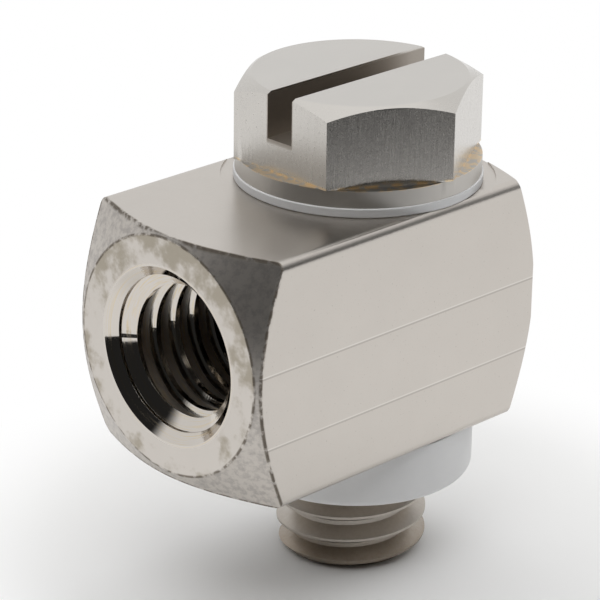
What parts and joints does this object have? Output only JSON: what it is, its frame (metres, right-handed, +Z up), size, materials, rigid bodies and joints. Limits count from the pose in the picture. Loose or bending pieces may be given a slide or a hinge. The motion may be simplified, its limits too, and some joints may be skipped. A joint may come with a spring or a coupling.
{
  "type": "female-male elbow fitting",
  "caption": "Miniature swivel elbow fitting: a square bar with a female threaded port turns on a hollow slotted hexagon screw with a male thread under it, sealed by plastic gaskets.",
  "frame": {"origin": "on the hollow screw's axis, at the underside of the lower gasket, where the fitting seals on what it is screwed into", "axes": "+Z up the screw, from its thread to its head; -Y out of the female port; X across the bar"},
  "size_m": [0.008, 0.0122, 0.0162],
  "materials": {
    "body_metal": "nickel-plated, satin, turned ends",
    "screw_metal": "nickel-plated, satin",
    "gasket_plastic": "milky, matte"
  },
  "bodies": {
    "screw": {"hollow_screw": "screw_metal", "upper_gasket": "gasket_plastic", "lower_gasket": "gasket_plastic"},
    "elbow": {"elbow_body": "body_metal"}
  },
  "joints": [
    {"name": "elbow_swivel", "type": "hinge", "parent": "screw", "child": "elbow", "pos_m": [0, 0, 0], "axis": [0, 0, 1], "continuous": true}
  ]
}
